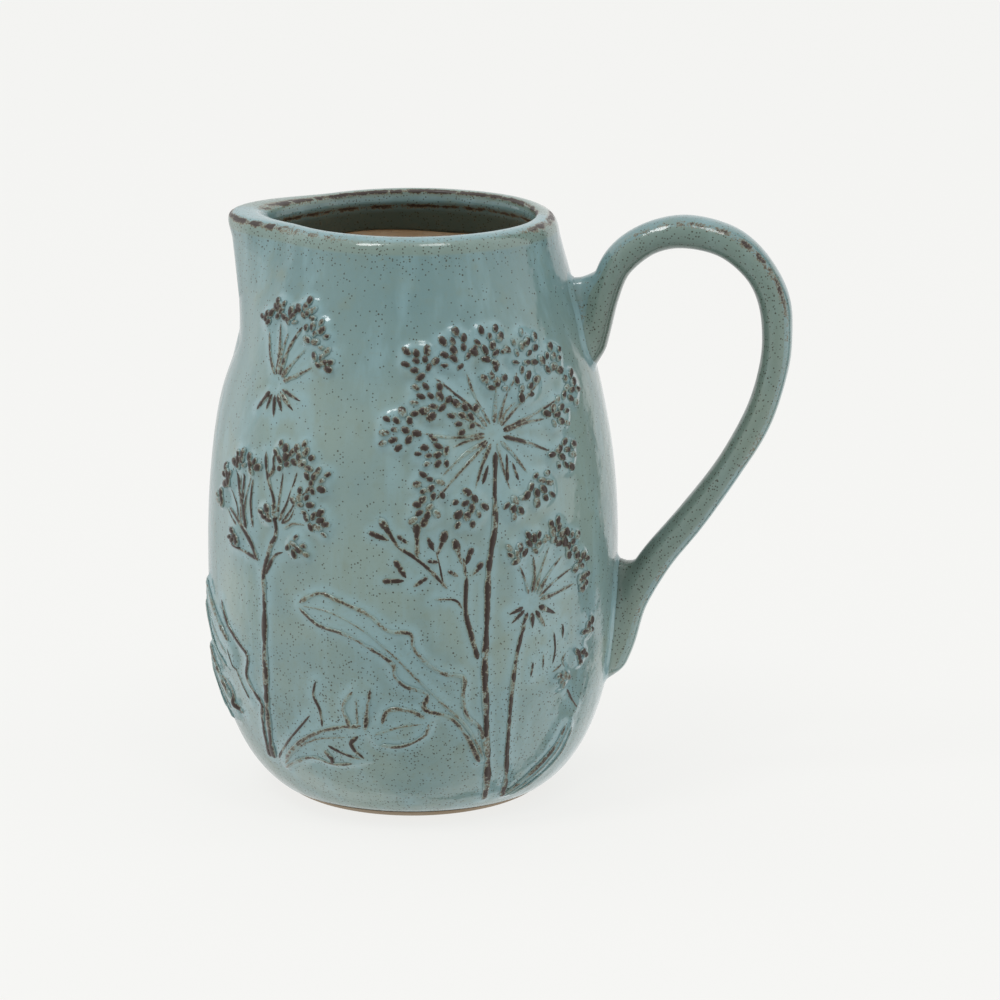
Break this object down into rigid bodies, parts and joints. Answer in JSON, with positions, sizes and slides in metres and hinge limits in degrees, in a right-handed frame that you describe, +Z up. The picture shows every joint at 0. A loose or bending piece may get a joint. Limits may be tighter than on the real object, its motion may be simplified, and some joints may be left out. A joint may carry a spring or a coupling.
{
  "type": "ceramic pitcher",
  "caption": "Pear-shaped stoneware pitcher with a pinched pouring lip, a looped strap handle and raised wildflower sprigs under a teal glaze.",
  "frame": {"origin": "centre of the foot, on the surface the pitcher stands on", "axes": "+Z up, +X towards the handle, -X towards the pouring lip; the pot's shape is the same on both sides of Y = 0"},
  "size_m": [0.2, 0.1418, 0.2021],
  "materials": {
    "bare_stoneware": "matte unglazed bisque clay",
    "teal_glaze": "glossy reactive glaze with iron speckle",
    "iron_edge_glaze": "glossy glaze broken to iron brown on raised relief"
  },
  "bodies": {
    "root": {"base_slab": "bare_stoneware", "foot_ring": "bare_stoneware", "body_wall": "bare_stoneware", "neck_and_spout": "bare_stoneware", "handle": "teal_glaze", "handle_upper_joint": "teal_glaze", "handle_lower_joint": "teal_glaze", "body_coat": "teal_glaze", "rim_coat": "teal_glaze", "small_umbel_sprig": "iron_edge_glaze", "left_umbel_sprig": "iron_edge_glaze", "main_umbel_sprig": "iron_edge_glaze", "bud_spray_sprig": "iron_edge_glaze", "low_umbel_sprig": "iron_edge_glaze", "long_leaf_sprig": "iron_edge_glaze", "lobed_leaf_sprig": "iron_edge_glaze", "left_leaf_sprig": "iron_edge_glaze", "back_main_umbel_sprig": "iron_edge_glaze", "back_low_umbel_sprig": "iron_edge_glaze", "back_small_umbel_sprig": "iron_edge_glaze", "back_leaf_sprig": "iron_edge_glaze"}
  },
  "joints": []
}
